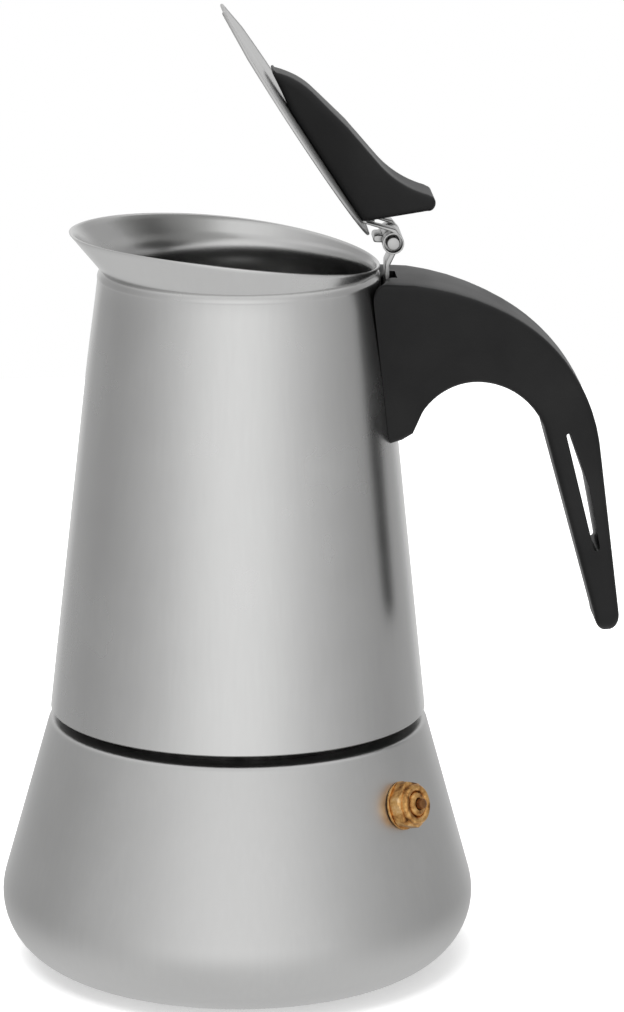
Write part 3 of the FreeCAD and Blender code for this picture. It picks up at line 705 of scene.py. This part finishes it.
def valve_fixing(place):
    """Lock nut inside the boiler's wall and flat washer outside it."""
    bore = 4.02
    nut = softened([(bore, -4.4), (6.8, -4.4), (6.8, -1.5), (bore, -1.5)], 0.5)
    add_piece("valve_nut", turned(nut, HEX_ROUND, hexagon(6.0, 0.0)), VALVE_BRASS, "boiler",
              ["valve_locknut"], place, sharp=32)
    washer = softened([(bore, 0.05), (5.3, 0.05), (5.3, 0.58), (bore, 0.58)], 0.15)
    add_piece("valve_gasket", turned(washer), VALVE_BRASS, "boiler",
              ["valve_washer"], place)


def valve_coil(place):
    """Spring of the valve, a wire wound between the poppet and the cap."""
    turns = 6.0
    steps = 288
    wire = 0.35
    coil_radius = 1.95
    low, high = -3.0, 2.8
    centres = []
    sides = []
    for step in range(steps + 1):
        share = step / steps
        angle = 2 * math.pi * turns * share
        sides.append(Vector((math.cos(angle), math.sin(angle), 0)))
        centres.append(Vector((coil_radius * math.cos(angle), coil_radius * math.sin(angle),
                               low + (high - low) * share)))
    points, rows = wire_rings(centres, sides, wire)
    spring = add_piece("valve_coil", (points, band_faces(rows, around=False)), SCREW_STEEL,
                       "boiler", ["valve_spring"], place)
    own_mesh(spring)


def valve():
    place = valve_place()
    valve_body(place)
    valve_cap_and_pin(place)
    valve_fixing(place)
    valve_coil(place)


# ---------------------------------------------------------------- funnel, filters, seal

def funnel():
    """Coffee basket with a flat flange, narrowing to the stem, as one thin sheet."""
    top = 66.65
    profile = [
        (3.4, 10.0), (4.0, 10.0), (4.0, 38.2), (4.8, 39.2), (31.0, 42.6), (32.2, 43.4),
        (32.4, 44.6), (32.4, 65.6), (32.8, 66.05), (36.0, 66.05), (36.4, 66.2), (36.4, 66.5),
        (36.0, top), (32.3, top), (31.8, 66.2), (31.8, 44.8), (31.4, 43.9), (30.8, 43.2),
        (4.6, 39.9), (3.7, 39.3), (3.4, 38.6),
    ]
    add_piece("funnel_basket", turned(profile, ROUND), INSIDE_STEEL, "funnel", ["funnel"],
              sharp=60)


def gasket():
    """Sealing ring between the funnel's flange and the upper pot."""
    seal = softened([(29.3, 67.0), (36.9, 67.0), (36.9, 69.7), (29.3, 69.7)], 0.55)
    add_piece("gasket_ring", turned(seal, ROUND), SEAL_SILICONE, "gasket", ["gasket"])


# ---------------------------------------------------------------- upper pot

SHOULDER_START = 154.2     # height where the cone turns into the shoulder round
CONE_INSIDE_TOP = 147.0    # height where the inside leaves the cone for the throat


def pot_radius(height):
    """Outside of the upper pot's straight cone."""
    share = (height - POT_FOOT[1]) / (POT_SHOULDER[1] - POT_FOOT[1])
    return POT_FOOT[0] + (POT_SHOULDER[0] - POT_FOOT[0]) * share


def skin_radius(height):
    """The upper pot's outside: its cone, drawn in a little below the shoulder."""
    drawn_in = 0.4
    share = min(max((height - 132.0) / 24.0, 0.0), 1.0)
    return pot_radius(height) - drawn_in * eased(share)


def rim_height(x):
    """Height of the rim, a wide arch over the pot's length, at one place along it."""
    arch_radius = 417.0
    arch_centre = (-46.6, -252.2)
    return math.sqrt(arch_radius ** 2 - (x - arch_centre[0]) ** 2) + arch_centre[1]


def collar_line(angle, inset, steps):
    """Points up the collar from the waist to the rim at one angle."""
    waist = CREASE[0] - inset
    mouth_middle, mouth_height = -1.0, 168.0
    mouth_long, mouth_wide = 39.0 - inset, 33.5 - inset
    start = Vector((waist * math.cos(angle), waist * math.sin(angle), CREASE[1]))
    end = Vector((mouth_middle + mouth_long * math.cos(angle), mouth_wide * math.sin(angle),
                  mouth_height))
    low, high = 0.0, 1.0
    for _ in range(40):
        middle = (low + high) / 2
        place = start.lerp(end, middle)
        if place.z < rim_height(place.x):
            low = middle
        else:
            high = middle
    low -= LIP / (end - start).length
    return [start.lerp(end, low * step / steps) for step in range(1, steps + 1)]


def cone_outline():
    """The upper pot's outside from its foot to the crease, as (radius, height) points."""
    levels = 24
    foot, low = POT_FOOT
    outline = [(foot - 0.25, low), (foot - 0.03, low + 0.25)]
    for step in range(1, levels + 1):
        height = low + (SHOULDER_START - low) * step / levels
        outline.append((skin_radius(height), height))
    shoulder = (skin_radius(SHOULDER_START), SHOULDER_START)
    return outline + arc_steps(shoulder, CREASE, 2.0, math.radians(8))


def lip_points(outside, inside):
    """The rounded rim between the outer and the inner face of the collar."""
    middle = (outside[-1] + inside[-1]) / 2
    slope = (outside[-1] - outside[-2]).normalized()
    points = []
    for index in range(1, 4):
        turn = math.pi * index / 4
        points.append(middle + (outside[-1] - middle) * math.cos(turn)
                      + slope * LIP * math.sin(turn))
    return points


def throat_points(top, across):
    """The rounded inside of the waist, from the collar down to the cone."""
    steps = 12
    waist = across * (CREASE[0] - 2.6) + UP * (CREASE[1] - 1.3)
    below = across * (pot_radius(CONE_INSIDE_TOP) - WALL) + UP * CONE_INSIDE_TOP
    points = []
    for index in range(1, steps + 1):
        share = index / (steps + 1)
        points.append(top * (1 - share) ** 2 + waist * 2 * share * (1 - share)
                      + below * share ** 2)
    return points


def upper_shell():
    """Cone, shoulder round, crease and flared collar as one sheet with a rounded lip."""
    outer = cone_outline()
    inner = [(radius - WALL, height) for radius, height in outer if height < CONE_INSIDE_TOP]
    columns = []
    for step in range(ROUND):
        angle = 2 * math.pi * step / ROUND
        across = Vector((math.cos(angle), math.sin(angle), 0))
        outside = collar_line(angle, 0.0, 8)
        inside = collar_line(angle, WALL, 8)
        line = [across * radius + UP * height for radius, height in outer]
        line += outside + lip_points(outside, inside) + inside[:1:-1]
        line += throat_points(inside[2], across)
        line += [across * radius + UP * height for radius, height in inner[::-1]]
        columns.append(line)
    points = [tuple(point) for row in zip(*columns) for point in row]
    rows = [list(range(row * ROUND, (row + 1) * ROUND)) for row in range(len(columns[0]))]
    add_piece("upper_pot_skin", (points, band_faces(rows)), POT_STEEL, "upper_pot",
              ["upper_shell"], sharp=42)


def thread_ring():
    """Ring with the female thread, seated just inside the cone."""
    low, high = 58.6, 69.98
    root, crest = 38.95, 38.0
    gap = WALL + 0.04
    steps = 84
    profile = [(pot_radius(high) - gap, high), (pot_radius(low) - gap, low)]
    profile += [(root, low + (high - low) * step / steps) for step in range(steps + 1)]
    reach = threaded(root, crest, 58.9, 67.0, THREAD_PITCH, 59.6)
    # Its near-black material is painted shade for the gap above the boiler.
    add_piece("female_thread", turned(profile, ROUND, reach), PAINTED_SHADE_THREAD_STEEL, "upper_pot",
              ["thread_ring"])


def column():
    """Tapered tube the coffee rises through, flared at its foot."""
    bore = 3.6
    foot, top = 73.0, 128.0
    foot_radius, narrowing = 8.2, 3.0
    steps = 6
    profile = [(bore, 70.8), (9.4, 70.8), (9.0, 71.2), (foot_radius, foot)]
    profile += [(foot_radius - narrowing * step / steps, foot + (top - foot) * step / steps)
                for step in range(1, steps + 1)]
    profile.append((bore, top))
    add_piece("coffee_column", turned(profile), INSIDE_STEEL, "upper_pot", ["column"],
              sharp=50)


# ---------------------------------------------------------------- handle

ROOT_HALF = 13.5             # half width where the handle meets the pot
GRIP_HALF = 7.7              # half width where the arm turns down
NARROWING = (34.0, 74.0)     # stretch along the pot over which it gets there
HANDLE_CORNER = 1.6


def handle_half(x):
    """Half width of the handle along its reach, wide at the pot and slim at the tip."""
    start, end = NARROWING
    if x < start:
        return ROOT_HALF
    if x < end:
        share = (x - start) / (end - start)
        return ROOT_HALF - (ROOT_HALF - GRIP_HALF) * (0.4 * share + 0.6 * eased(share))
    return GRIP_HALF - 1.2 * (x - end) / 16


def handle_root():
    """Sections that lie on the pot's cone, the first ones rounded off along the top edge."""
    low, high = 119.9, 155.0
    gap = 0.05
    edge_round = 2.4
    sections = []
    for degrees in range(0, 91, 18):
        drop = edge_round * (1 - math.sin(math.radians(degrees)))
        ahead = edge_round * (1 - math.cos(math.radians(degrees)))
        root = rounded_section((0.0, low + 0.3 * ahead), (0.0, high - drop), ROOT_HALF,
                               HANDLE_CORNER)
        sections.append([(math.sqrt(pot_radius(z) ** 2 - y * y) + gap + ahead, y, z)
                         for x, y, z in root])
    return sections


def handle_arm():
    """Sections over the finger arch and down the arm, closed with a round tip."""
    arch_end = (66.7, 122.1)
    turn_height = 125.5
    inner = traced([(37.5, 121.95), (38.4, 123.9), (39.6, 126.6), (51.4, 132.7, -14.0),
                    (*arch_end, -17.3), (78.75, 79.0)])
    outer = traced([(84.2, 79.4), (79.4, 116.0), (58.6, 147.75, 41.0),
                    (37.4, 154.75, 58.4)])[::-1]
    inner_turn = min(range(len(inner)), key=lambda i: (Vector(inner[i]) - Vector(arch_end)).length)
    outer_turn = min(range(len(outer)), key=lambda i: abs(outer[i][1] - turn_height))
    pairs = list(zip(spread(inner[:inner_turn + 1], 40), spread(outer[:outer_turn + 1], 40)))
    pairs += list(zip(spread(inner[inner_turn:], 26), spread(outer[outer_turn:], 26)))[1:]
    sections = []
    for low, high in pairs:
        middle = (low[0] + high[0]) / 2
        sections.append(rounded_section(low, high, handle_half(middle), HANDLE_CORNER))
    return sections + rounded_end(*pairs[-1], handle_half(81.7), HANDLE_CORNER, 3.9)


def handle():
    """Moulded handle with its slot, and its rooms for the hinge strip, bracket and screw."""
    slot = traced([(78.1, 94.7), (79.5, 94.9, 0.71), (78.4, 100.6), (76.8, 108.6),
                   (72.6, 120.5), (71.6, 120.3, 0.52)])
    notch = softened([(28.0, 145.2), (34.3, 145.2), (34.3, 160.0), (28.0, 160.0)], 0.4)
    bore = turned([(0, 110.0), (3.9, 110.0), (3.9, 135.75), (2.2, 135.75), (2.2, 146.0),
                   (0, 146.0)])
    tongue = softened([(28.0, 140.9), (51.2, 140.9), (51.2, 143.7), (28.0, 143.7)], 0.3)
    screw_x = 46.5
    rooms = [cutting_block(slot, 20.0), cutting_block(notch, 4.0), shifted(bore, x=screw_x),
             cutting_block(tongue, 5.2)]
    add_piece("handle_grip", lofted(handle_root() + handle_arm()), HANDLE_BLACK, "upper_pot",
              ["handle"], sharp=34, cutters=rooms)


# ---------------------------------------------------------------- hinge

def knuckle(low, high):
    """A tube round the pin whose ends are countersunk, so a dark ring shows round the pin."""
    inner, outer, sink = 1.46, 2.35, 1.9
    loop = [(inner, low + 0.6), (sink, low), (outer - 0.2, low), (outer, low + 0.2),
            (outer, high - 0.2), (outer - 0.2, high), (sink, high), (inner, high - 0.6)]
    return crosswise(turned(loop, 64), PIN[0], PIN[2])


def hinge_bracket():
    """Strip that goes down into the handle's notch, with its stop tab and its knuckle."""
    x, z = PIN[0], PIN[2]
    half = 3.6
    strip = strip_plate([
        (33.35, 146.0), (32.65, 153.2), (32.6, 157.3), (x + 1.5, z - 1.5), (x + 0.1, z - 1.9),
        (31.7, 158.1), (31.7, 153.2), (32.35, 146.0),
    ], half, 0.25, 0.5)
    tab = strip_plate([
        (x - 1.8, z - 0.5), (x - 1.8, z + 1.2), (x - 4.0, z + 1.2), (x - 4.2, z - 0.4),
    ], half, 0.3, 0.75)
    add_piece("hinge_fixed_leaf", together(strip, tab, knuckle(-half, half)), HINGE_CHROME,
              "upper_pot", ["hinge_bracket"])


def hinge_pin():
    """Pin with slightly rounded ends."""
    end = PIN_HALF
    pin = [(0, -end), (1.0, -end), (1.3, 0.12 - end), (PIN_RADIUS, 0.4 - end),
           (PIN_RADIUS, end - 0.4), (1.3, end - 0.12), (1.0, end), (0, end)]
    add_piece("hinge_pin_steel", crosswise(turned(pin), PIN[0], PIN[2]), HINGE_CHROME,
              "upper_pot", ["hinge_pin"])


# ---------------------------------------------------------------- lid, in its own closed frame

LID_PLACE = Matrix.Translation(Vector(PIN) * MM) @ Matrix.Rotation(LID_OPEN, 4, "Y")


def lid():
    """Lid sheet with a fine rolled edge and a beak whose tip dips between its corners."""
    radius = 31.0
    back_x, back_half = -5.05, 10.0
    flank_x, flank_half = -53.5, 24.4
    front_x, front_half = -62.2, 7.0
    screw_hole = 1.6
    sheet_low = -LID_SINK - 0.5
    bead_radius = 0.38
    bead_height = -LID_SINK - 0.2
    outline = traced([
        (back_x, -back_half), (back_x, back_half), (flank_x, flank_half, radius),
        (front_x, front_half), (front_x + 0.3, 3.5), (front_x + 0.9, 0.0),
        (front_x + 0.3, -3.5), (front_x, -front_half), (flank_x, -flank_half),
        (back_x, -back_half, radius),
    ])[:-1]
    angles = [-2 * math.pi * step / 24 for step in range(24)]
    hole = [(-SCREW_AT + screw_hole * math.cos(angle), screw_hole * math.sin(angle))
            for angle in angles]
    sheet = plate(outline, sheet_low, -LID_SINK, 0.2, holes=[hole])
    line = [Vector((x, y, bead_height)) for x, y in moved_in(outline, 0.35)]
    sides = []
    for index in range(len(line)):
        heading = (line[(index + 1) % len(line)] - line[index - 1]).normalized()
        sides.append(Vector((-heading.y, heading.x, 0)))
    points, rows = wire_rings(line, sides, bead_radius)
    add_piece("lid_sheet", together(sheet, (points, band_faces(rows))), LID_STEEL, "lid", ["lid"],
              LID_PLACE)


def lid_leaf():
    """Turning leaf: two strips and a bridge on the lid, and a knuckle at each end of the pin."""
    low = -LID_SINK + 0.02
    top = low + 0.9
    outline = [(-LEAF_END, low), (-7.4, low), (-2.6, 0.9), (-1.2, 1.6), (-0.3, 2.3),
               (-2.3, 2.1), (-7.0, top), (-LEAF_END, top)]
    strips = [shifted(strip_plate(outline, 1.8, 0.25, 0.5), y=place) for place in (5.7, -5.7)]
    bridge = strip_plate([(-LEAF_END, low), (-7.4, low), (-5.4, -1.4), (-5.8, -0.8),
                          (-7.0, top), (-LEAF_END, top)], 4.2, 0.1, 0.3)
    loop = [(1.55, 4.0), (1.7, 3.9), (2.2, 3.9), (2.35, 4.05), (2.35, 7.4), (2.27, 7.5),
            (2.05, 7.5), (2.0, 7.4), (2.0, 4.6), (1.55, 4.6)]
    end_knuckle = crosswise(turned(loop, 64), 0, 0)
    add_piece("lid_hinge_leaf", together(*strips, bridge, end_knuckle, mirrored(end_knuckle)),
              HINGE_CHROME, "lid", ["lid_leaf"], LID_PLACE)


def knob_half(x):
    """Half width of the thumb grip: slim rounded nose, full width over its back."""
    nose = max(0.0, min(1.0, (x + 46.0) / 28.0))
    tail = max(0.0, (x + 12.0) / 12.0)
    return 4.0 + 4.5 * math.sin(nose * math.pi / 2) ** 0.8 - 0.6 * tail


def knob():
    """Thumb grip lofted along its reach, with rooms for the hinge leaf and the screw."""
    corner = 1.5
    low = -LID_SINK + 0.02
    under = traced([(-44.9, -1.75), (-40.5, -2.3), (-35.6, low), (-7.7, low), (-1.8, 10.0)])
    over = traced([(-4.15, 12.4), (-4.6, 12.2), (-17.0, 6.8, -21.9), (-36.0, 3.5, 120.0),
                   (-44.8, -1.0, 17.0)])[::-1]
    pairs = list(zip(spread(under, 64), spread(over, 64)))
    sections = []
    for bottom, top in pairs:
        middle = (bottom[0] + top[0]) / 2
        sections.append(rounded_section(bottom, top, knob_half(middle), corner))
    nose = rounded_end(*pairs[0], knob_half(pairs[0][0][0]), 0.35, -0.6, 4)
    tail = rounded_end(*pairs[-1], knob_half(-3.0), corner, 1.4)
    room_end = -LEAF_END - 0.2
    leaf_room = cutting_block([(room_end, -8.0), (3.0, -8.0), (3.0, low + 1.0),
                               (room_end, low + 1.0)], 7.6)
    screw_hole = turned([(0, -8.0), (1.52, -8.0), (1.52, 1.6), (0, 1.6)])
    thing = mesh_object("thumb_grip", lofted(nose[::-1] + sections + tail))
    carved(thing, [leaf_room, shifted(screw_hole, x=-SCREW_AT)])
    thing.data.transform(LID_PLACE)
    finish_piece(thing, HANDLE_BLACK, "lid", ["lid_knob"], sharp=34)


# ---------------------------------------------------------------- CAD solids kept as they are

KEPT = {
    "funnel_screen": SCREEN_STEEL,
    "filter_plate": SCREEN_STEEL,
    "pot_floor": INSIDE_STEEL,
    "column_cap": INSIDE_STEEL,
    "handle_bracket": SCREW_STEEL,
    "handle_screw": SCREW_STEEL,
    "knob_screw": SCREW_STEEL,
}


def keep_cad_pieces():
    """Better materials on the CAD solids whose shape is right."""
    for name, material in KEPT.items():
        thing = bpy.data.objects[name]
        if not thing.material_slots:
            thing.data.materials.append(material)
        for slot in thing.material_slots:
            slot.material = material


# ---------------------------------------------------------------- studio

VIEW_TURN = math.radians(-3.0)   # the handle points a little away from the camera
DOME_STRENGTH = 1.2
# Brightness of the dome from behind the object (0) round to behind the camera (1).
DOME_STOPS = [(0.0, 0.95), (0.04, 0.85), (0.10, 0.50), (0.35, 0.43), (0.5, 0.48), (0.68, 0.60),
              (0.84, 0.78), (0.94, 1.0), (1.0, 1.17)]
# Where the dome fades to its own ground and sky brightness: from height, to height, brightness.
DOME_CAPS = [(-0.12, -0.75, 0.80), (0.30, 0.95, 0.95)]


def aimed(place, forward, roll=0.0):
    """A world matrix at a place, looking along forward with Z up."""
    right = forward.cross(UP).normalized()
    up = right.cross(forward)
    tipped = right * math.cos(roll) + up * math.sin(roll)
    up = up * math.cos(roll) - right * math.sin(roll)
    turn = Matrix((tipped, up, -forward)).transposed()
    return Matrix.Translation(place) @ turn.to_4x4()


def camera():
    """A long lens about a metre away, looking a little down on the pot."""
    data = bpy.data.cameras.new("camera")
    data.lens = 165.9
    data.sensor_width = 36.0
    data.clip_end = 20.0
    pitch = 0.2378       # radians, downwards
    yaw = -0.0006
    roll = 0.0062
    turn = Matrix.Rotation(VIEW_TURN, 3, "Z")
    place = turn @ Vector((0.01683, -0.99993, 0.34559))
    forward = turn @ Vector((math.sin(yaw) * math.cos(pitch), math.cos(yaw) * math.cos(pitch),
                             -math.sin(pitch)))
    thing = bpy.data.objects.new("camera", data)
    thing.matrix_world = aimed(place, forward, roll)
    bpy.context.scene.collection.objects.link(thing)
    bpy.context.scene.camera = thing


def soft_light(name, place, target, size, power):
    """A square light that isn't mirrored in the steel."""
    data = bpy.data.lights.new(name, "AREA")
    data.shape = "RECTANGLE"
    data.size, data.size_y = size
    data.energy = power
    thing = bpy.data.objects.new(name, data)
    place, target = Vector(place), Vector(target)
    thing.matrix_world = aimed(place, (target - place).normalized())
    thing.visible_glossy = False
    bpy.context.scene.collection.objects.link(thing)


def dome_colour(nodes, links):
    """Colour of the dome by direction: its turn away from the front, then its height."""
    way = nodes.new("ShaderNodeTexCoord").outputs["Generated"]
    facing = nodes.new("ShaderNodeVectorMath")
    facing.operation = "DOT_PRODUCT"
    facing.inputs[1].default_value = Matrix.Rotation(VIEW_TURN, 3, "Z") @ Vector((0.0, -1.0, 0.0))
    links.new(way, facing.inputs[0])
    share = nodes.new("ShaderNodeMapRange")
    share.inputs["From Min"].default_value = -1.0
    links.new(facing.outputs["Value"], share.inputs["Value"])
    ramp = nodes.new("ShaderNodeValToRGB")
    while len(ramp.color_ramp.elements) < len(DOME_STOPS):
        ramp.color_ramp.elements.new(0.5)
    for element, (place, level) in zip(ramp.color_ramp.elements, DOME_STOPS):
        tone = level / DOME_STRENGTH
        element.position = place
        element.color = (tone, tone, tone, 1.0)
    links.new(share.outputs["Result"], ramp.inputs["Fac"])
    parts = nodes.new("ShaderNodeSeparateXYZ")
    links.new(way, parts.inputs["Vector"])
    colour = ramp.outputs["Color"]
    for start, end, level in DOME_CAPS:
        tone = level / DOME_STRENGTH
        share = nodes.new("ShaderNodeMapRange")
        share.interpolation_type = "SMOOTHSTEP"
        share.inputs["From Min"].default_value = start
        share.inputs["From Max"].default_value = end
        links.new(parts.outputs["Z"], share.inputs["Value"])
        blend = nodes.new("ShaderNodeMix")
        blend.data_type = "RGBA"
        links.new(share.outputs["Result"], blend.inputs["Factor"])
        links.new(colour, blend.inputs[6])
        blend.inputs[7].default_value = (tone, tone, tone, 1.0)
        colour = blend.outputs[2]
    return colour


def dome():
    """The world: a graded dome that lights the object, and plain white behind it."""
    world = bpy.data.worlds.new("studio")
    bpy.context.scene.world = world
    world.use_nodes = True
    nodes, links = world.node_tree.nodes, world.node_tree.links
    nodes.clear()
    graded = nodes.new("ShaderNodeBackground")
    graded.inputs["Strength"].default_value = DOME_STRENGTH
    links.new(dome_colour(nodes, links), graded.inputs["Color"])
    white = nodes.new("ShaderNodeBackground")
    white.inputs["Strength"].default_value = 1.0
    white.inputs["Color"].default_value = (1, 1, 1, 1)
    path = nodes.new("ShaderNodeLightPath")
    pick = nodes.new("ShaderNodeMixShader")
    links.new(path.outputs["Is Camera Ray"], pick.inputs["Fac"])
    links.new(graded.outputs["Background"], pick.inputs[1])
    links.new(white.outputs["Background"], pick.inputs[2])
    output = nodes.new("ShaderNodeOutputWorld")
    links.new(pick.outputs["Shader"], output.inputs["Surface"])


def pale_floor():
    """A wide round floor, kept out of the steel's reflections."""
    radius, height = 620.0, -0.02
    steps = 96
    angles = [2 * math.pi * step / steps for step in range(steps)]
    points = [(radius * math.cos(angle), radius * math.sin(angle), height) for angle in angles]
    floor = mesh_object("floor", (points, [list(range(steps))]))
    shader = Shader("pale_floor")
    tone = shader.noise(3.0, 2.0)
    shader.to("Base Color", shader.ramp(tone, [
        (0.3, (0.90, 0.90, 0.90)), (0.7, (0.93, 0.93, 0.93)),
    ]))
    shader.fixed(Roughness=0.9, Emission_Color=(1.0, 1.0, 1.0, 1.0), Emission_Strength=0.32)
    floor.data.materials.append(shader.material)
    floor.visible_glossy = False


def studio():
    """Dome, soft top light and floor."""
    dome()
    soft_light("top_light", (-0.25, -0.25, 1.5), (0, 0, 0.05), (1.3, 1.3), 26.0)
    pale_floor()
    bpy.context.scene.view_settings.view_transform = "Standard"


boiler_shell()
base_disc()
boiler_neck()
valve()
funnel()
gasket()
upper_shell()
thread_ring()
column()
handle()
hinge_bracket()
hinge_pin()
lid()
lid_leaf()
knob()
keep_cad_pieces()
studio()
camera()
